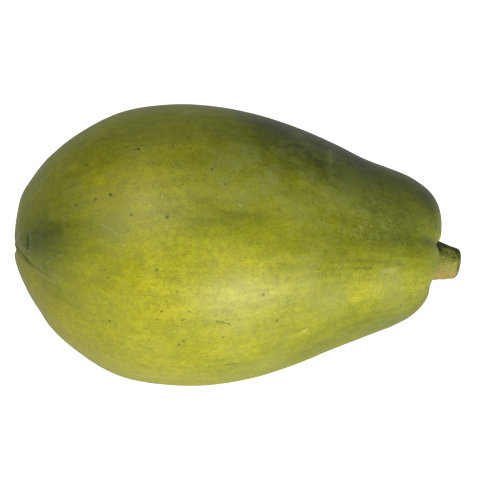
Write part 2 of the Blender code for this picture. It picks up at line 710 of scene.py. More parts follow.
@dataclass(frozen=True)
class FruitForm:
    """The fruit's body, as its solid has it."""

    length: float = 213 * MM
    girth: float = 140 * MM
    rest_spot_depth: float = 1.3 * MM
    droop: float = radians(5.0)
    lean_turn: float = 120.0
    slant: float = radians(8.5)
    slant_shares: tuple[float, float] = (0.80, 0.97)
    blossom_shares: tuple[float, float] = (0.0, 0.12)
    stem_shares: tuple[float, float] = (0.66, 0.98)
    smooth_pole: float = 0.12
    curve_steps: int = 60
    # How far along the length, and the ring's radius and lean as shares of the largest radius.
    outline: tuple[tuple[float, float, float], ...] = (
        (0.0140, 0.000, 0.045),
        (0.0045, 0.060, 0.030),
        (0.0015, 0.125, -0.010),
        (0.0135, 0.285, -0.050),
        (0.0375, 0.423, -0.039),
        (0.0610, 0.526, -0.036),
        (0.0845, 0.615, -0.025),
        (0.1315, 0.743, -0.018),
        (0.2020, 0.879, -0.011),
        (0.2720, 0.961, -0.007),
        (0.3660, 1.000, -0.004),
        (0.4600, 0.993, 0.000),
        (0.5540, 0.943, 0.000),
        (0.6480, 0.857, 0.000),
        (0.7420, 0.743, 0.000),
        (0.8120, 0.652, 0.010),
        (0.8590, 0.599, 0.018),
        (0.9060, 0.546, 0.030),
        (0.9500, 0.468, 0.046),
        (0.9760, 0.378, 0.054),
        (0.9840, 0.295, 0.062),
        (0.9780, 0.220, 0.074),
        (0.9680, 0.175, 0.083),
    )
    seat_lean: float = 0.083
    grooves: tuple[Groove, ...] = (
        Groove((26, 19, 17), (0.6 * MM, 0.5 * MM, 1.7 * MM), 11),
        Groove((50, 66, 70), (1.2 * MM, 0.4 * MM, 1.2 * MM), 13),
        Groove((120, 135, 146), (0.9 * MM, 0.6 * MM, 1.5 * MM), 14),
        Groove((195, 205, 214), (0.9 * MM, 0.6 * MM, 1.5 * MM), 14),
        Groove((265, 280, 290), (0.9 * MM, 0.6 * MM, 1.5 * MM), 14),
    )

    def lean_direction(self) -> np.ndarray:
        """The way that the stem and the shoulders lean."""
        angle = radians(self.lean_turn)
        return np.array((0.0, -sin(angle), cos(angle)))

    def rings(self, count: int, crowding: float) -> np.ndarray:
        """Rows of the outline along a smooth curve.

        Args:
            count: How many rows there are.
            crowding: How much closer together the rows are at both ends, from 0 to 1.

        Returns:
            One row for each ring: its share, radius and lean.
        """
        knots = np.array(self.outline)
        mirrored = knots[1] * (1, -1, 1)
        onward = 2 * knots[-1] - knots[-2]
        padded = np.vstack([mirrored, knots, onward])
        dense = []
        for first, start, end, last in zip(padded, padded[1:], padded[2:], padded[3:]):
            for t in np.linspace(0, 1, self.curve_steps, endpoint=False):
                dense.append(
                    0.5 * (2 * start + (end - first) * t
                           + (2 * first - 5 * start + 4 * end - last) * t**2
                           + (3 * start - first - 3 * end + last) * t**3)
                )
        curve = np.array(dense + [knots[-1]])
        steps = np.hypot(np.diff(curve[:, 0]) * self.length, np.diff(curve[:, 1]) * self.girth / 2)
        travelled = np.concatenate([[0], np.cumsum(steps)])
        even = np.linspace(0, 1, count)
        wanted = (even - crowding * np.sin(2 * pi * even) / (2 * pi)) * travelled[-1]
        return np.stack([np.interp(wanted, travelled, curve[:, i]) for i in range(3)], axis=1)

    def groove_depth(self, share: np.ndarray, turn: np.ndarray) -> np.ndarray:
        """How deep the grooves between the lobes are at each place.

        Args:
            share: The share of each place.
            turn: The turn of each place.

        Returns:
            The depth at each place.
        """
        to_stem = smooth_step(share, *self.stem_shares)
        to_blossom = 1 - smooth_step(share, *self.blossom_shares)
        weights = (to_blossom, 1 - to_stem - to_blossom, to_stem)
        total = 0.0
        for groove in self.grooves:
            centre = sum(weight * value for weight, value in zip(weights, groove.turns))
            depth = sum(weight * value for weight, value in zip(weights, groove.depths))
            total = total + depth * np.exp(-((turn_apart(turn, centre) / groove.half_width) ** 2))
        return total


@dataclass
class Fruit:
    """The fruit: its fine shape and what its skin looks like at each place."""

    effects: Effects
    finish: "SkinFinish"
    form: FruitForm = field(default_factory=FruitForm)
    ring_count: int = 290
    sector_count: int = 320
    crowding: float = 0.45
    creases: tuple[Crease, ...] = (
        Crease(
            ((0.003, 46), (0.02, 53), (0.04, 54), (0.06, 53), (0.105, 51)), 1.0 * MM, 1.0 * MM, 0.40 * MM
        ),
        Crease(((0.003, 224), (0.02, 222), (0.06, 220)), 1.1 * MM, 0.9 * MM, 0.2 * MM),
        Crease(((0.003, 130), (0.03, 126)), 0.7 * MM, 0.9 * MM, 0.1 * MM),
        Crease(((0.003, 300), (0.03, 290)), 0.7 * MM, 0.9 * MM, 0.1 * MM),
        Crease(((0.984, 17), (0.95, 17), (0.86, 18)), 1.2 * MM, 2.0 * MM, 0.35 * MM),
    )
    dents: tuple[Dent, ...] = (Dent((0.036, 34), 1.3 * MM, 3.4 * MM, 0.8 * MM),)
    # A crease gets shallower between these shares of its path, and its lips stand this many half-widths out.
    crease_fade: tuple[float, float] = (0.25, 1.0)
    lips_out: float = 2.2
    # The painted shade in a crease fades between these shares of its path, and is this much wider than the
    # crease.
    dark_fade: tuple[float, float] = (0.2, 0.9)
    dark_spread: float = 1.3
    lump_size: tuple[float, float, float] = (60 * MM, 30 * MM, 30 * MM)
    lump_height: float = 0.35 * MM
    lump_seed: float = 3.7
    pimple_size: tuple[float, float, float] = (11 * MM, 7 * MM, 7 * MM)
    pimple_height: float = 0.05 * MM
    pimple_seed: float = 9.1
    spot_rounding: float = 0.4 * MM  # how softly the skin bends into the flat spot
    tube_radius: float = 50 * MM  # the even tube that the streaks are laid out on
    # Ripeness, which carries painted light and shade too: what all skin has, what the side facing the front
    # light adds, yellower partly by real ripening and partly as painted light, and what the top of the neck
    # takes away, greener partly in its own colour and partly as painted shade.
    plain_ripeness: float = 0.52
    sunny_turn: float = 75.0
    sunny_focus: float = 1.5
    sunny_ripeness: float = 0.43
    shaded_turn: float = -20.0
    neck_greenness: float = 0.42
    neck_shares: tuple[float, float] = (0.45, 0.75)
    # Where the skin is riper or greener than its lobes make it.
    ripe_patches: tuple[Patch, ...] = (
        Patch((0.25, 10), 0.10, 18, 0.30),
        Patch((0.06, 34), 0.075, 24, -0.50),
        Patch((0.16, 100), 0.20, 18, 0.18),
        Patch((0.65, 4), 0.09, 12, 0.18),
        Patch((0.54, 40), 0.18, 9, 0.12),
        Patch((0.47, 20), 0.11, 8, -0.24),
        Patch((0.10, 26), 0.06, 12, -0.20),
        # These two darken the top of the neck, partly in its own green and partly as painted shade.
        Patch((0.62, -38), 0.14, 18, -0.36),
        Patch((0.76, -32), 0.16, 24, -0.42),
        Patch((0.87, 18), 0.09, 18, -0.24),
        # This one is a painted highlight along the shoulder's rim.
        Patch((0.98, 5), 0.02, 30, 0.30),
        Patch((0.80, 54), 0.22, 14, 0.20),
        Patch((0.84, 94), 0.24, 20, -0.42),
        Patch((0.50, -8), 0.12, 14, -0.10),
        Patch((0.35, 170), 0.20, 30, -0.20),
        Patch((0.50, 235), 0.25, 30, 0.25),
        Patch((0.15, 250), 0.12, 35, -0.20),
        Patch((0.75, 200), 0.15, 25, -0.12),
    )
    # Where greyish wax lies thickest, with painted sheen along the edges and painted highlights on the lit
    # lobes.
    bloom_patches: tuple[Patch, ...] = (
        Patch((0.05, 95), 0.10, 26, 0.9),
        Patch((0.10, -8), 0.07, 22, 0.5),
        Patch((0.62, -4), 0.10, 16, 0.8),
        Patch((0.50, 0), 0.08, 12, 0.8),
        Patch((0.22, -2), 0.05, 10, 0.7),
        Patch((0.22, 24), 0.04, 10, 0.7),
        Patch((0.48, 54), 0.13, 14, 0.8),
        Patch((0.74, 52), 0.14, 12, 0.6),
        Patch((0.30, 190), 0.14, 25, 0.7),
        Patch((0.65, 255), 0.14, 25, 0.7),
    )
    # Where dried sap has left a net of fine cracks.
    crackle_patches: tuple[Patch, ...] = (
        Patch((0.47, 4), 0.06, 9, 0.9),
        Patch((0.78, 18), 0.09, 14, 1.0),
        Patch((0.62, 14), 0.10, 12, 0.5),
        Patch((0.66, 150), 0.10, 14, 0.8),
        Patch((0.40, 260), 0.09, 16, 0.8),
        Patch((0.72, 310), 0.08, 12, 0.7),
    )
    # The clearest marks one by one, and smaller ones strewn over the stretches of skin that have most.
    marks: tuple[Mark, ...] = (
        *dots(MarkKind.DARK, 1.0 * MM, 0.75, (
            (0.28, -10), (0.22, 10), (0.34, 20), (0.32, 40), (0.55, 50),
            (0.96, 5), (0.38, 70), (0.50, 85), (0.22, 65),
        )),
        *strewn(MarkKind.DARK, 0.7 * MM, 0.65, 12, (0.14, 0.42), (-10, 30), 1),
        *strewn(MarkKind.DARK, 0.7 * MM, 0.65, 12, (0.20, 0.48), (40, 92), 2),
        *strewn(MarkKind.DARK, 0.7 * MM, 0.60, 5, (0.58, 0.97), (0, 75), 3),
        *line(MarkKind.DARK, 0.7 * MM, 0.5, ((0.45, 60), (0.48, 62))),
        *line(MarkKind.DARK, 0.8 * MM, 0.6, ((0.48, 85), (0.50, 85))),
        *line(MarkKind.DARK, 1.0 * MM, 0.45, ((0.76, 42), (0.80, 42))),
        *line(MarkKind.DARK, 0.7 * MM, 0.4, ((0.86, 40), (0.88, 40))),
        *line(MarkKind.DARK, 0.45 * MM, 0.45, ((0.64, -10), (0.66, 0), (0.66, 10))),
        *line(MarkKind.DARK, 1.6 * MM, 0.16, ((0.70, 38), (0.78, 38), (0.87, 38))),
        *line(MarkKind.DARK, 2.2 * MM, 0.12, ((0.44, 18), (0.56, 18))),
        *line(MarkKind.DARK, 1.3 * MM, 0.75, ((0.035, 28), (0.035, 40))),
        *strewn(MarkKind.PALE, 0.6 * MM, 0.6, 12, (0.20, 0.95), (5, 70), 4),
        *line(MarkKind.PALE, 0.5 * MM, 0.25, ((0.27, 12), (0.31, 12))),
        *line(MarkKind.PALE, 0.55 * MM, 0.32, ((0.20, 22), (0.24, 27))),
        *line(MarkKind.PALE, 1.2 * MM, 0.16, ((0.72, -30), (0.71, -15))),
        *line(MarkKind.PALE, 0.8 * MM, 0.7, ((0.65, 73), (0.66, 72))),
        *line(MarkKind.PALE, 1.8 * MM, 0.22, ((0.83, 44), (0.86, 44))),
        *line(MarkKind.PALE, 0.45 * MM, 0.4, ((0.08, 45), (0.12, 37))),
        *line(MarkKind.PALE, 2.4 * MM, 0.14, ((0.09, 50), (0.11, 50))),
        # A painted highlight along the raised lip of the fold at the blossom end.
        *line(MarkKind.PALE, 1.6 * MM, 0.20, ((0.01, 50), (0.03, 58), (0.06, 57), (0.10, 55))),
    )

    def __post_init__(self) -> None:
        """Lays the skin out as a grid of points."""
        self.rings = self.form.rings(self.ring_count, self.crowding)
        self.share = np.repeat(self.rings[:, :1], self.sector_count, axis=1)
        turns = np.linspace(0, 360, self.sector_count, endpoint=False)
        self.turn = np.repeat(turns[None, :], self.ring_count, axis=0)
        self.smooth_points = self._smooth_points()
        self.inward = self._inward()
        self.depth = self._depth()
        self.own_points = self.smooth_points + self.inward * self.depth[..., None]
        self.points = self._lie_down()

    def _smooth_points(self) -> np.ndarray:
        """The skin before any relief, in the fruit's own frame.

        Returns:
            The points, ring by ring.
        """
        form = self.form
        radius = self.rings[:, 1:2] * form.girth / 2
        lean = self.rings[:, 2:3] * form.girth / 2
        towards = form.lean_direction()
        angle = np.radians(self.turn)
        across_y = -np.sin(angle) * radius + towards[1] * lean
        across_z = np.cos(angle) * radius + towards[2] * lean
        slant = tan(form.slant) * smooth_step(self.share, *form.slant_shares)
        along = self.share * form.length - slant * (across_y * towards[1] + across_z * towards[2])
        return np.stack([along, across_y, across_z], axis=-1)

    def _inward(self) -> np.ndarray:
        """The way into the fruit at each point.

        Returns:
            A direction of length 1 for each point.
        """
        points = self.smooth_points
        inward = np.cross(np.gradient(points, axis=0), np.roll(points, -1, 1) - np.roll(points, 1, 1))
        return inward / np.maximum(np.linalg.norm(inward, axis=-1, keepdims=True), TINY)

    def _own_place(self, place: Place) -> np.ndarray:
        """The point of the smooth skin at a place, in the fruit's own frame."""
        return self._read(self.smooth_points, place)

    def _read(self, values: np.ndarray, place: Place) -> np.ndarray:
        """Reads values that the grid holds, at a share and a turn.

        Args:
            values: The values, ring by ring.
            place: The share and the turn.

        Returns:
            The value there, between those of the four points round it.
        """
        share, turn = place
        shares = self.rings[:, 0]
        first = int(np.argmin(shares))
        last = int(np.argmax(shares))
        row = np.interp(share, shares[first:last + 1], np.arange(first, last + 1))
        column = turn % 360 / 360 * self.sector_count
        low_row = int(row)
        high_row = min(low_row + 1, self.ring_count - 1)
        low_column = int(column) % self.sector_count
        high_column = (low_column + 1) % self.sector_count
        down = row - low_row
        across = column - int(column)
        near = values[low_row, low_column] * (1 - across) + values[low_row, high_column] * across
        far = values[high_row, low_column] * (1 - across) + values[high_row, high_column] * across
        return near * (1 - down) + far * down

    def _distance_to(self, path: Sequence[Place]) -> tuple[np.ndarray, np.ndarray]:
        """How far each point is from a path over the skin.

        Args:
            path: The places that the path joins.

        Returns:
            The distance to the path, and how far along it the nearest point is, from 0 to 1.
        """
        stops = [self._own_place(place) for place in path]
        best = np.full(self.share.shape, np.inf)
        along = np.zeros(self.share.shape)
        for i, (start, end) in enumerate(zip(stops, stops[1:])):
            run = end - start
            share = np.clip(((self.smooth_points - start) @ run) / (run @ run), 0, 1)
            distance = np.linalg.norm(self.smooth_points - start - share[..., None] * run, axis=-1)
            closer = distance < best
            best = np.where(closer, distance, best)
            along = np.where(closer, (i + share) / (len(stops) - 1), along)
        return best, along

    def _depth(self) -> np.ndarray:
        """How far each point lies under the smooth skin: grooves, folds, dents and unevenness.

        Returns:
            The depth at each point.
        """
        depth = self.form.groove_depth(self.share, self.turn)
        for crease in self.creases:
            distance, along = self._distance_to(crease.places)
            fade = 1 - smooth_step(along, *self.crease_fade)
            fold = crease.depth * np.exp(-((distance / crease.half_width) ** 2))
            past_lip = distance - self.lips_out * crease.half_width
            lip = crease.lip * np.exp(-((past_lip / crease.half_width) ** 2))
            depth = depth + (fold - lip) * fade
        for dent in self.dents:
            depth = depth + self._dent_depth(dent)
        flat = self.smooth_points.reshape(-1, 3)
        uneven = self.lump_height * lumps(flat, self.lump_size, 2, self.lump_seed)
        uneven += self.pimple_height * lumps(flat, self.pimple_size, 2, self.pimple_seed)
        depth = depth + uneven.reshape(depth.shape)
        return depth * smooth_step(self.rings[:, 1:2], 0.0, self.form.smooth_pole)

    def _dent_depth(self, dent: Dent) -> np.ndarray:
        """How deep a dent is at each point.

        Args:
            dent: The dent.

        Returns:
            The depth at each point.
        """
        centre = self._own_place(dent.place)
        away = self.smooth_points - centre
        along = away[..., 0]
        across = np.linalg.norm(away[..., 1:], axis=-1)
        return dent.depth * np.exp(-((along / dent.half_length) ** 2) - (across / dent.half_spread) ** 2)

    def _lie_down(self) -> np.ndarray:
        """The points where the fruit lies, with its flat spot on the floor.

        Returns:
            The points, ring by ring, in the scene's frame.
        """
        turned = self.own_points @ self.turning().T
        floor = turned[..., 2].min() + self.form.rest_spot_depth
        height = turned[..., 2] - floor
        turned[..., 2] = 0.5 * (height + np.sqrt(height**2 + self.spot_rounding**2))
        return fit_to_node(turned.reshape(-1, 3), "fruit").reshape(turned.shape)

    def turning(self) -> np.ndarray:
        """The rotation from the fruit's own frame to how it lies."""
        return np.array(Matrix.Rotation(self.form.droop, 3, "Y"))

    def place(self, share: float, turn: float) -> Vector:
        """The point of the finished skin at a share and a turn, where the fruit lies."""
        return Vector(self._read(self.points, (share, turn)))

    def shift(self) -> np.ndarray:
        """How far the finished skin lies from the turned one, which the stem follows too."""
        return (self.points - self.own_points @ self.turning().T)[self.ring_count // 2, 0]

    def _patchwork(self, patches: Iterable[Patch]) -> np.ndarray:
        """The sum of soft patches at each point.

        Args:
            patches: The patches.

        Returns:
            One value for each point.
        """
        total = np.zeros(self.share.shape)
        for patch in patches:
            share, turn = patch.place
            along = (self.share - share) / patch.half_length
            round_it = turn_apart(self.turn, turn) / patch.half_spread
            total += patch.amount * np.exp(-(along**2) - round_it**2)
        return total

    def ripeness(self) -> np.ndarray:
        """How far the skin has turned from green to yellow at each point, with painted light on the side
        facing the front light and painted shade on the top of the neck.

        Returns:
            One value for each point: 0 is green and 1 is yellow.
        """
        lit_and_ripe = (0.5 + 0.5 * np.cos(np.radians(self.turn - self.sunny_turn))) ** self.sunny_focus
        unlit_and_green = 0.5 + 0.5 * np.cos(np.radians(self.turn - self.shaded_turn))
        neck = smooth_step(self.share, *self.neck_shares)
        ripe = self.plain_ripeness + self.sunny_ripeness * lit_and_ripe - self.neck_greenness * unlit_and_green * neck
        return ripe + self._patchwork(self.ripe_patches)

    def folds(self) -> np.ndarray:
        """How much painted shade each point gets for lying in a crease or in the stem's seat, from 0 to
        about 1.

        Returns:
            One value for each point.
        """
        crease_shade = np.zeros(self.share.shape)
        for crease in self.creases:
            distance, along = self._distance_to(crease.places)
            fade = 1 - smooth_step(along, *self.dark_fade)
            crease_shade += np.exp(-((distance / (self.dark_spread * crease.half_width)) ** 2)) * fade
        ring = np.arange(self.ring_count)[:, None]
        edge = int(np.argmax(self.rings[:, 0]))
        seat = smooth_step(ring, edge, self.ring_count - 1)
        return np.clip(crease_shade, 0, 1) + seat

    def along_skin(self) -> np.ndarray:
        """A place for each point on a straight even tube, so that streaks follow the skin.

        Returns:
            The place of each point on the tube.
        """
        steps = np.linalg.norm(np.diff(self.smooth_points, axis=0), axis=-1).mean(axis=1)
        travelled = np.concatenate([[0], np.cumsum(steps)])[:, None]
        angle = np.radians(self.turn)
        along = np.repeat(travelled, self.sector_count, axis=1)
        radius = self.tube_radius
        return np.stack([along, radius * np.cos(angle), radius * np.sin(angle)], axis=-1)

    def build(self) -> None:
        """Makes the fruit, with what its finish reads at each point."""
        mesh = mesh_of_rings("papaya_fruit", self.points)
        hold(mesh, "ripeness", self.ripeness())
        hold(mesh, "folds", self.folds())
        hold(mesh, "bloom", self._patchwork(self.bloom_patches))
        hold(mesh, "crackle", self._patchwork(self.crackle_patches))
        hold(mesh, "along_skin", self.along_skin())
        add_piece("papaya_fruit", mesh, self.finish.build(self, self.effects), "fruit")


# --------------------------------------------------------------------------------------------------
# The skin's finish
# --------------------------------------------------------------------------------------------------


@dataclass(frozen=True)
class SkinFinish:
    """Waxy papaya skin: green turning yellow, partly as painted light and shade, mottled and streaked, with
    specks, scars and dried sap, painted shade in its folds and painted sheen in its wax.
    """

    # From dark green to pale yellow, so this tone also carries painted light and shade.
    colours: tuple[tuple[float, Colour], ...] = (
        (0.00, (0.055, 0.067, 0.004)),
        (0.25, (0.105, 0.120, 0.004)),
        (0.50, (0.178, 0.194, 0.004)),
        (0.75, (0.252, 0.264, 0.005)),
        (1.00, (0.375, 0.352, 0.009)),
    )
    dark: Colour = (0.040, 0.050, 0.010)
    pale: Colour = (0.480, 0.460, 0.200)
    bloom: Colour = (0.270, 0.295, 0.070)
    roughness: float = 0.41
    gloss: float = 0.31
    relief: float = 0.16 * MM
    grain: Texture = Texture(1150.0, 3.0, 0.75)
    streaks: Streaks = Streaks(8.0, 330.0, 0.30)
    # How unevenly it ripens, each with how far it pushes the ripeness either way.
    broad: Texture = Texture(34.0, 3.0)
    broad_push: float = 0.42
    small: Texture = Texture(130.0, 4.0, 0.65)
    small_push: float = 0.34
    streaks_push: float = 0.07
    wide_streaks: Streaks = Streaks(5.0, 70.0, 0.35)
    wide_push: float = 0.16
    # How dark and how light the grain, the mottle and the streaks make it, and how dark the painted shade in
    # a fold is.
    grain_light: tuple[float, float] = (0.78, 1.22)
    mottle: Texture = Texture(290.0, 5.0, 0.78)
    mottle_light: tuple[float, float] = (0.86, 1.14)
    streaks_light: tuple[float, float] = (0.94, 1.06)
    fold_light: float = 0.55
    # Greyish wax: clouds with a rubbed edge, thin everywhere and thicker in its patches, which are painted
    # sheen and painted highlights.
    clouds: Texture = Texture(24.0, 5.0, 0.62)
    clouds_edge: tuple[float, float] = (0.42, 0.66)
    rubbed: Texture = Texture(240.0, 4.0, 0.7)
    rubbed_push: float = 0.35
    thin_wax: float = 0.26
    thick_wax: float = 0.55
    cracks: Cracks = Cracks(480.0, 0.16, 0.60)
    cracks_strength: float = 0.60
    # Specks, each with how clearly they show. The fine ones are gathered in places.
    dark_specks: Specks = Specks(135.0, 0.13, 0.42)
    dark_strength: float = 0.6
    pale_specks: Specks = Specks(160.0, 0.10, 0.10)
    pale_strength: float = 0.5
    fine_specks: Specks = Specks(330.0, 0.20, 0.50)
    gathering: Texture = Texture(30.0, 2.0)
    gathering_edge: tuple[float, float] = (0.48, 0.62)
    fine_strengths: tuple[float, float] = (0.14, 0.50)
    wander: float = 2.4 * MM  # how far the edges of specks and marks wander
    wander_scale: float = 420.0
    # How much rougher the grain and the pale marks make it.
    grain_rough: float = 0.10
    pale_rough: float = 0.20
    pores: Texture = Texture(380.0, 3.0, 0.6)
    # What share each has in the relief's height.
    pores_height: float = 0.7
    grain_height: float = 0.3
    streaks_height: float = 0.10

    def build(self, fruit: Fruit, effects: Effects) -> bpy.types.Material:
        """Makes the material.

        Args:
            fruit: The fruit that the marks lie on.
            effects: The shared node groups.

        Returns:
            The material.
        """
        material, board, shader = new_material("papaya_skin")
        position = board.add("ShaderNodeTexCoord").outputs["Object"]
        along = board.add("ShaderNodeAttribute", attribute_name="along_skin").outputs["Vector"]
        grain = board.texture(position, self.grain)
        streaks = board.group(effects.streaks, position=along, **asdict(self.streaks))
        colour = self._ground(board, position, streaks, effects, along)
        colour = self._grained(board, colour, position, grain, streaks)
        # Wax, with painted sheen and painted highlights where its patches lie.
        colour = board.mix(self._bloom(board, position), colour, self.bloom)
        crackle = self._crackle(board, effects, along)
        colour = board.mix(board.math("MULTIPLY", crackle, self.cracks_strength), colour, self.bloom)
        dark, pale = self._marks(board, fruit, effects, position)
        colour = board.mix(dark, colour, self.dark)
        colour = board.mix(pale, colour, self.pale)
        board.feed(shader.inputs["Base Color"], colour)
        grainy = board.math("MULTIPLY", grain, self.grain_rough)
        rough = board.math("ADD", self.roughness - self.grain_rough / 2, grainy)
        rough = board.math("ADD", rough, board.math("MULTIPLY", pale, self.pale_rough))
        board.feed(shader.inputs["Roughness"], rough)
        shader.inputs["Specular IOR Level"].default_value = self.gloss
        self._build_relief(board, shader, position, grain, streaks)
        return material

    def _ground(
        self, board: NodeBoard, position: Socket, streaks: Socket, effects: Effects, along: Socket
    ) -> Socket:
        """The skin's colour from how ripe it is, unevenly, with the painted light and shade that the held
        ripeness carries.

        Args:
            board: The board to build on.
            position: The place on the skin.
            streaks: The fine streaks.
            effects: The shared node groups.
            along: The place on the even tube.

        Returns:
            The colour.
        """
        broad = board.texture(position, self.broad)
        small = board.texture(position, self.small)
        wide = board.group(effects.streaks, position=along, **asdict(self.wide_streaks))
        ripe = board.math("ADD", board.attribute("ripeness"), board.uneven(broad, self.broad_push))
        ripe = board.math("ADD", ripe, board.uneven(small, self.small_push))
        ripe = board.math("ADD", ripe, board.uneven(streaks, self.streaks_push))
        ripe = board.math("ADD", ripe, board.uneven(wide, self.wide_push))
        return board.ramp(ripe, self.colours)

    def _grained(
        self, board: NodeBoard, colour: Socket, position: Socket, grain: Socket, streaks: Socket
    ) -> Socket:
        """The colour with fine light and dark grain in it, and with painted shade in the folds and the
        stem's seat.

        Args:
            board: The board to build on.
            colour: The colour without grain.
            position: The place on the skin.
            grain: The fine grain.
            streaks: The fine streaks.

        Returns:
            The colour.
        """
        light = board.remap(grain, 0.25, 0.75, *self.grain_light)
        mottle = board.texture(position, self.mottle)
        light = board.math("MULTIPLY", light, board.remap(mottle, 0.30, 0.70, *self.mottle_light))
        light = board.math("MULTIPLY", light, board.remap(streaks, 0.0, 1.0, *self.streaks_light))
        # Painted shade in the creases and in the stem's seat.
        folds = board.remap(board.attribute("folds"), 0.0, 1.0, 1.0, self.fold_light)
        light = board.math("MULTIPLY", light, folds)
        shade = board.add("ShaderNodeCombineColor")
        for socket in shade.inputs:
            board.feed(socket, light)
        return board.mix(1.0, colour, shade.outputs[0], Blend.MULTIPLY)

    def _bloom(self, board: NodeBoard, position: Socket) -> Socket:
        """Where greyish wax lies thicker, in clouds with a rubbed edge, with painted sheen and painted
        highlights in its patches.

        Args:
            board: The board to build on.
            position: The place on the skin.

        Returns:
            How much of the wax and the painted sheen there is.
        """
        clouds = board.texture(position, self.clouds)
        rubbed = board.texture(position, self.rubbed)
        worn = board.math("ADD", clouds, board.uneven(rubbed, self.rubbed_push))
        thicker = board.math("MULTIPLY", board.attribute("bloom"), self.thick_wax)
        here = board.math("ADD", self.thin_wax, thicker)
        return board.math("MULTIPLY", board.remap(worn, *self.clouds_edge), here, clamp=True)

    def _crackle(self, board: NodeBoard, effects: Effects, along: Socket) -> Socket:
        """The net of fine cracks in dried sap."""
        net = board.group(effects.cracks, position=along, **asdict(self.cracks))
        return board.math("MULTIPLY", net, board.attribute("crackle"), clamp=True)

    def _marks(
        self, board: NodeBoard, fruit: Fruit, effects: Effects, position: Socket
    ) -> tuple[Socket, Socket]:
        """The small marks, dark and pale.

        Args:
            board: The board to build on.
            fruit: The fruit that the marks lie on.
            effects: The shared node groups.
            position: The place on the skin.

        Returns:
            How dark, and how pale, the marks make the skin.
        """
        jitter = board.add("ShaderNodeTexNoise")
        board.feed(jitter.inputs["Vector"], position)
        board.feed(jitter.inputs["Scale"], self.wander_scale)
        off = board.vector("SUBTRACT", jitter.outputs["Color"], (0.5, 0.5, 0.5)).outputs[0]
        wander = board.vector("SCALE", off, scale=self.wander).outputs[0]
        worn = board.vector("ADD", position, wander).outputs[0]
        dark = board.group(effects.specks, position=worn, **asdict(self.dark_specks))
        pale = board.group(effects.specks, position=worn, **asdict(self.pale_specks))
        fine = board.group(effects.specks, position=worn, **asdict(self.fine_specks))
        gathering = board.texture(position, self.gathering)
        gathered = board.remap(gathering, *self.gathering_edge, *self.fine_strengths)
        fine = board.math("MULTIPLY", fine, gathered)
        dark = board.math("MULTIPLY", dark, self.dark_strength)
        masks = {
            MarkKind.DARK: board.math("MAXIMUM", dark, fine),
            MarkKind.PALE: board.math("MULTIPLY", pale, self.pale_strength),
        }
        for mark in fruit.marks:
            start = fruit.place(*mark.start)
            end = fruit.place(*mark.end)
            if (end - start).length < mark.radius:
                end = start + Vector((mark.radius / 4, 0, 0))
            stroke = board.group(
                effects.stroke,
                position=worn,
                start=tuple(start),
                end=tuple(end),
                radius=mark.radius,
                softness=mark.softness,
            )
            strength = board.math("MULTIPLY", stroke, mark.strength)
            masks[mark.kind] = board.math("MAXIMUM", masks[mark.kind], strength)
        return masks[MarkKind.DARK], masks[MarkKind.PALE]

    def _build_relief(
        self, board: NodeBoard, shader: bpy.types.Node, position: Socket, grain: Socket, streaks: Socket
    ) -> None:
        """The fine unevenness that breaks up the gloss.

        Args:
            board: The board to build on.
            shader: The shader that the relief belongs to.
            position: The place on the skin.
            grain: The fine grain.
            streaks: The fine streaks.
        """
        pores = board.math("MULTIPLY", board.texture(position, self.pores), self.pores_height)
        height = board.math("ADD", pores, board.math("MULTIPLY", grain, self.grain_height))
        height = board.math("ADD", height, board.math("MULTIPLY", streaks, self.streaks_height))
        bump = board.add("ShaderNodeBump")
        board.feed(bump.inputs["Strength"], 1.0)
        board.feed(bump.inputs["Distance"], self.relief)
        board.feed(bump.inputs["Height"], height)
        board.feed(shader.inputs["Normal"], bump.outputs["Normal"])


# --------------------------------------------------------------------------------------------------
# The stem
# --------------------------------------------------------------------------------------------------


@dataclass(frozen=True)
class StemForm:
    """The stub of the stem, as its solid has it, with a slightly dished cut end."""

    length: float = 18 * MM
    radius: float = 10.6 * MM
    gap: float = 0.3 * MM
    # How far along the length, and the radius as a share of the largest.
    profile: tuple[tuple[float, float], ...] = (
        (0.000, 0.920),
        (0.080, 0.990),
        (0.200, 1.000),
        (0.330, 0.965),
        (0.460, 0.910),
        (0.690, 0.815),
        (0.870, 0.745),
        (0.960, 0.690),
        (1.000, 0.600),
        (0.997, 0.520),
        (0.980, 0.420),
        (0.972, 0.240),
        (0.975, 0.060),
    )

    def rings(self, count: int) -> np.ndarray:
        """Rows of the profile, evenly spaced along it: how far along each ring is, and its radius.

        Args:
            count: How many rings there are.

        Returns:
            One row for each ring.
        """
        knots = np.array(self.profile)
        steps = np.hypot(np.diff(knots[:, 0]) * self.length, np.diff(knots[:, 1]) * self.radius)
        travelled = np.concatenate([[0], np.cumsum(steps)])
        wanted = np.linspace(0, travelled[-1], count)
        return np.stack([np.interp(wanted, travelled, knots[:, i]) for i in range(2)], axis=1)


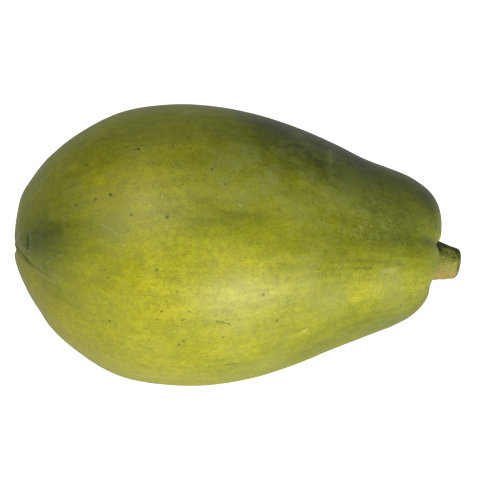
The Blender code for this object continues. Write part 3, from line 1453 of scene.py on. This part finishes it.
@dataclass
class Stem:
    """The stem's stub: its uneven woody shape, standing in its seat."""

    effects: Effects
    fruit: Fruit
    finish: "StemFinish"
    form: StemForm = field(default_factory=StemForm)
    ring_count: int = 90
    sector_count: int = 144
    ridge_size: tuple[float, float, float] = (14 * MM, 2.2 * MM, 2.2 * MM)
    ridge_height: float = 0.30 * MM
    knob_size: tuple[float, float, float] = (5 * MM, 4 * MM, 4 * MM)
    knob_height: float = 0.30 * MM
    ridge_seed: float = 5.3
    knob_seed: float = 1.9
    # The unevenness fades out inwards over these radii, as shares of the largest.
    even_radii: tuple[float, float] = (0.3, 0.7)
    # The side takes on the cut's look over these shares of the length.
    worn_edge: tuple[float, float] = (0.88, 0.95)

    def build(self) -> None:
        """Makes the stem, with what its finish reads at each point."""
        rings = self.form.rings(self.ring_count)
        along = np.repeat(rings[:, :1], self.sector_count, axis=1)
        angle = np.linspace(0, 2 * pi, self.sector_count, endpoint=False)[None, :]
        radius = rings[:, 1:2] * self.form.radius
        lengthwise = along * self.form.length
        round_it = np.stack([lengthwise, -np.sin(angle) * radius, np.cos(angle) * radius], axis=-1)
        outer = smooth_step(rings[:, 1:2], *self.even_radii)
        own = self._made_uneven(round_it, outer)
        mesh = mesh_of_rings("papaya_stem", self._stood_up(np.concatenate([own[:1] * (1, 0, 0), own])))
        whole = np.concatenate([np.zeros((1, self.sector_count)), along])
        hold(mesh, "along_stem", whole)
        hold(mesh, "under", self._under(angle, len(whole)))
        hold(mesh, "cut", self._cut(rings))
        hold(mesh, "own_place", np.concatenate([round_it[:1] * (1, 0, 0), round_it]))
        add_piece("papaya_stem", mesh, self.finish.build(self.effects), "stem")

    def _made_uneven(self, points: np.ndarray, outer: np.ndarray) -> np.ndarray:
        """The points pushed in and out in ridges along the stem, and in knobs.

        Args:
            points: The points, ring by ring.
            outer: How much of the unevenness each ring has.

        Returns:
            The moved points.
        """
        flat = points.reshape(-1, 3)
        ridges = self.ridge_height * lumps(flat, self.ridge_size, 2, self.ridge_seed)
        knobs = self.knob_height * lumps(flat, self.knob_size, 2, self.knob_seed)
        push = (ridges + knobs).reshape(points.shape[:2]) * outer
        outward = points * (0, 1, 1)
        outward = outward / np.maximum(np.linalg.norm(outward, axis=-1, keepdims=True), TINY)
        return points + outward * push[..., None]

    def _stood_up(self, points: np.ndarray) -> np.ndarray:
        """The points where the stem stands in its seat.

        Args:
            points: The points, ring by ring, with the stem along x.

        Returns:
            The moved points.
        """
        form = self.fruit.form
        lean = Vector(form.lean_direction())
        slanted = Vector((cos(form.slant), 0, 0)) + lean * sin(form.slant)
        turn = Vector((1, 0, 0)).rotation_difference(slanted)
        seat_lean = form.seat_lean * form.girth / 2
        seat_along = form.outline[-1][0] * form.length - tan(form.slant) * seat_lean
        seat = Vector((seat_along + self.form.gap / cos(form.slant), 0, 0)) + lean * seat_lean
        turned = points @ np.array(turn.to_matrix()).T + np.array(seat)
        stood = turned @ self.fruit.turning().T + self.fruit.shift()
        return fit_to_node(stood.reshape(-1, 3), "stem").reshape(stood.shape)

    def _under(self, angle: np.ndarray, ring_count: int) -> np.ndarray:
        """How far round to the side that it leans to each point is, from 0 to 1."""
        towards = 0.5 + 0.5 * np.cos(angle - radians(self.fruit.form.lean_turn))
        return np.repeat(towards, ring_count, axis=0)

    def _cut(self, rings: np.ndarray) -> np.ndarray:
        """1 on the cut end and 0 on the side, for each point.

        Args:
            rings: How far along each ring is, and its radius.

        Returns:
            One value for each point.
        """
        past = np.arange(self.ring_count) > int(np.argmax(rings[:, 0]))
        worn = np.maximum(past, smooth_step(rings[:, 0], *self.worn_edge))
        cut = np.repeat(worn[:, None], self.sector_count, axis=1)
        return np.concatenate([cut[:1], cut])


@dataclass(frozen=True)
class StemFinish:
    """Dry stem: olive green on top, darker there partly as painted shade, corky tan underneath, dark in its
    pits, with painted shade at its foot in the seat and a mottled cut end.
    """

    side: tuple[tuple[float, Colour], ...] = (
        (0.00, (0.045, 0.050, 0.006)),
        (0.22, (0.150, 0.165, 0.010)),
        (0.55, (0.245, 0.255, 0.026)),
        (0.68, (0.320, 0.215, 0.048)),
        (1.00, (0.390, 0.290, 0.070)),
    )
    end: tuple[tuple[float, Colour], ...] = (
        (0.00, (0.035, 0.038, 0.008)),
        (0.50, (0.110, 0.112, 0.016)),
        (1.00, (0.330, 0.270, 0.070)),
    )
    # The pits' colour, which is also the painted shade at the stem's foot in its seat.
    dark: Colour = (0.030, 0.026, 0.006)
    roughness: float = 0.72
    relief: float = 0.35 * MM
    knots: Texture = Texture(330.0, 5.0, 0.72)
    fibres: Streaks = Streaks(6.0, 700.0, 0.30)
    grain: Texture = Texture(1400.0, 3.0, 0.7)
    grain_light: tuple[float, float] = (0.75, 1.25)
    pits: Specks = Specks(620.0, 0.34, 0.50)
    pits_strength: float = 0.55
    # The painted shade at the stem's foot in its seat fades out over this share of the length.
    seat_strength: float = 0.85
    seat_share: float = 0.22
    # How corky the top and the underside are, and how far knots and fibres push it either way. The top's low
    # value also makes it dark, partly its own olive and partly painted shade.
    corky: tuple[float, float] = (0.10, 0.72)
    knots_push: float = 1.7
    fibres_push: float = 0.18
    # The cut end's colour, and how far its mottle and the grain push it.
    end_middle: float = 0.42
    end_mottle: Texture = Texture(620.0, 3.0, 0.7)
    end_push: float = 2.2
    end_grain: float = 0.1
    # What share each has in the relief's height.
    fibres_height: float = 0.35
    grain_height: float = 0.25
    pits_depth: float = 0.5

    def build(self, effects: Effects) -> bpy.types.Material:
        """Makes the material.

        Args:
            effects: The shared node groups.

        Returns:
            The material.
        """
        material, board, shader = new_material("papaya_stem")
        own = board.add("ShaderNodeAttribute", attribute_name="own_place").outputs["Vector"]
        knots = board.texture(own, self.knots)
        fibres = board.group(effects.streaks, position=own, **asdict(self.fibres))
        grain = board.texture(own, self.grain)
        cut = board.attribute("cut")
        colour = board.mix(cut, self._side(board, knots, fibres), self._end(board, own, grain))
        pits = board.group(effects.specks, position=own, **asdict(self.pits))
        colour = board.mix(board.math("MULTIPLY", pits, self.pits_strength), colour, self.dark)
        # Painted shade at the foot, where the stem stands in its seat.
        seat = board.remap(board.attribute("along_stem"), 0.0, self.seat_share, self.seat_strength, 0.0)
        colour = board.mix(seat, colour, self.dark)
        light = board.remap(grain, 0.25, 0.75, *self.grain_light)
        shade = board.add("ShaderNodeCombineColor")
        for socket in shade.inputs:
            board.feed(socket, light)
        board.feed(shader.inputs["Base Color"], board.mix(1.0, colour, shade.outputs[0], Blend.MULTIPLY))
        shader.inputs["Roughness"].default_value = self.roughness
        height = board.math("ADD", knots, board.math("MULTIPLY", fibres, self.fibres_height))
        height = board.math("ADD", height, board.math("MULTIPLY", grain, self.grain_height))
        height = board.math("SUBTRACT", height, board.math("MULTIPLY", pits, self.pits_depth))
        bump = board.add("ShaderNodeBump")
        board.feed(bump.inputs["Strength"], 1.0)
        board.feed(bump.inputs["Distance"], self.relief)
        board.feed(bump.inputs["Height"], height)
        board.feed(shader.inputs["Normal"], bump.outputs["Normal"])
        return material

    def _side(self, board: NodeBoard, knots: Socket, fibres: Socket) -> Socket:
        """The side's colour: dark green on top, partly its own olive and partly painted shade, corky
        underneath, in patches.

        Args:
            board: The board to build on.
            knots: The coarse unevenness.
            fibres: The fibres.

        Returns:
            The colour.
        """
        corky = board.remap(board.attribute("under"), 0.05, 0.95, *self.corky)
        patchy = board.uneven(knots, self.knots_push)
        stringy = board.uneven(fibres, self.fibres_push)
        return board.ramp(board.math("ADD", board.math("ADD", corky, patchy), stringy), self.side)

    def _end(self, board: NodeBoard, own: Socket, grain: Socket) -> Socket:
        """The cut end's colour: dark, with paler dots.

        Args:
            board: The board to build on.
            own: The place on the stem before it is stood up.
            grain: The fine grain.

        Returns:
            The colour.
        """
        mottled = board.uneven(board.texture(own, self.end_mottle), self.end_push)
        mottled = board.math("ADD", self.end_middle, mottled)
        grainy = board.math("MULTIPLY", grain, self.end_grain)
        return board.ramp(board.math("ADD", mottled, grainy), self.end)


# --------------------------------------------------------------------------------------------------
# The studio
# --------------------------------------------------------------------------------------------------


@dataclass(frozen=True)
class SoftLight:
    """A soft box that faces the fruit.

    Its strength is how bright a white card looks that faces it from where the fruit lies.
    """

    name: str
    azimuth: float
    elevation: float
    distance: float
    width: float
    height: float
    strength: float
    colour: Colour = (1.0, 1.0, 1.0)


@dataclass
class Studio:
    """The floor, the soft lights, the surrounding light and the camera."""

    centre: Vector
    lights: tuple[SoftLight, ...] = (
        SoftLight(
            "front_box", azimuth=22.0, elevation=14.0, distance=1.1, width=0.58, height=0.40, strength=0.90
        ),
        SoftLight(
            "top_box", azimuth=-75.0, elevation=76.0, distance=1.0, width=0.40, height=0.40, strength=0.28
        ),
    )
    surround: float = 0.34
    surround_in_gloss: float = 0.12
    floor_size: float = 8.0
    floor_shade: float = 0.74
    floor_roughness: float = 0.9
    floor_glow: float = 0.85  # only what the camera sees, so that the floor looks white
    camera_azimuth: float = -2.43
    camera_elevation: float = 60.0
    camera_distance: float = 0.6933
    lens: float = 100.0
    aim: tuple[float, float, float] = (4.8 * MM, -3.9 * MM, -0.8 * MM)

    def build(self) -> None:
        """Makes all of it."""
        self._build_floor()
        for light in self.lights:
            self._build_light(light)
        self._build_surround()
        self._build_camera()
        bpy.context.scene.view_settings.view_transform = "Standard"

    @staticmethod
    def _away(azimuth: float, elevation: float) -> Vector:
        """The direction out to an azimuth and an elevation, in degrees. Azimuth 0 is the front.

        Args:
            azimuth: How far round, in degrees.
            elevation: How far up, in degrees.

        Returns:
            The direction, of length 1.
        """
        around = radians(azimuth)
        up = radians(elevation)
        return Vector((sin(around) * cos(up), -cos(around) * cos(up), sin(up)))

    def _build_floor(self) -> None:
        """A plain pale floor."""
        half = self.floor_size / 2
        mesh = bpy.data.meshes.new("floor")
        corners = [(-half, -half, 0), (half, -half, 0), (half, half, 0), (-half, half, 0)]
        mesh.from_pydata(corners, [], [(0, 1, 2, 3)])
        material, board, shader = new_material("floor")
        shader.inputs["Base Color"].default_value = (*[self.floor_shade] * 3, 1.0)
        shader.inputs["Roughness"].default_value = self.floor_roughness
        shader.inputs["Emission Color"].default_value = (1.0, 1.0, 1.0, 1.0)
        seen = board.add("ShaderNodeLightPath").outputs["Is Camera Ray"]
        board.feed(shader.inputs["Emission Strength"], board.remap(seen, 0.0, 1.0, 0.0, self.floor_glow))
        mesh.materials.append(material)
        floor = bpy.data.objects.new("floor", mesh)
        bpy.context.scene.collection.objects.link(floor)

    def _build_light(self, light: SoftLight) -> None:
        """One soft box.

        Args:
            light: The soft box.
        """
        data = bpy.data.lights.new(light.name, "AREA")
        data.shape = "RECTANGLE"
        data.size = light.width
        data.size_y = light.height
        data.energy = light.strength * (pi * light.distance) ** 2
        data.color = light.colour
        lamp = bpy.data.objects.new(light.name, data)
        away = self._away(light.azimuth, light.elevation)
        lamp.location = self.centre + away * light.distance
        lamp.rotation_mode = "QUATERNION"
        lamp.rotation_quaternion = (-away).to_track_quat("-Z", "Y")
        lamp.visible_camera = False
        bpy.context.scene.collection.objects.link(lamp)

    def _build_surround(self) -> None:
        """Even pale light from all round, which looks white where the camera sees it."""
        world = bpy.data.worlds.new("surround")
        world.use_nodes = True
        board = NodeBoard(world.node_tree)
        rays = board.add("ShaderNodeLightPath").outputs
        strength = board.remap(rays["Is Glossy Ray"], 0.0, 1.0, self.surround, self.surround_in_gloss)
        strength = board.remap(rays["Is Camera Ray"], 0.0, 1.0, strength, 1.0)
        board.feed(world.node_tree.nodes["Background"].inputs["Color"], (1.0, 1.0, 1.0))
        board.feed(world.node_tree.nodes["Background"].inputs["Strength"], strength)
        bpy.context.scene.world = world

    def _build_camera(self) -> None:
        """The camera, which looks steeply down on the fruit's front."""
        data = bpy.data.cameras.new("camera")
        data.lens = self.lens
        camera = bpy.data.objects.new("camera", data)
        away = self._away(self.camera_azimuth, self.camera_elevation)
        camera.location = self.centre + Vector(self.aim) + away * self.camera_distance
        camera.rotation_mode = "QUATERNION"
        camera.rotation_quaternion = (-away).to_track_quat("-Z", "Y")
        bpy.context.scene.collection.objects.link(camera)
        bpy.context.scene.camera = camera


def main() -> None:
    """Builds the papaya and the studio."""
    logging.basicConfig(level=logging.INFO, format="%(name)s: %(message)s")
    low, high = CAD_BOUNDS
    effects = Effects()
    fruit = Fruit(effects, SkinFinish())
    fruit.build()
    Stem(effects, fruit, StemFinish()).build()
    Studio((low + high) / 2).build()


if __name__ == "__main__":
    main()
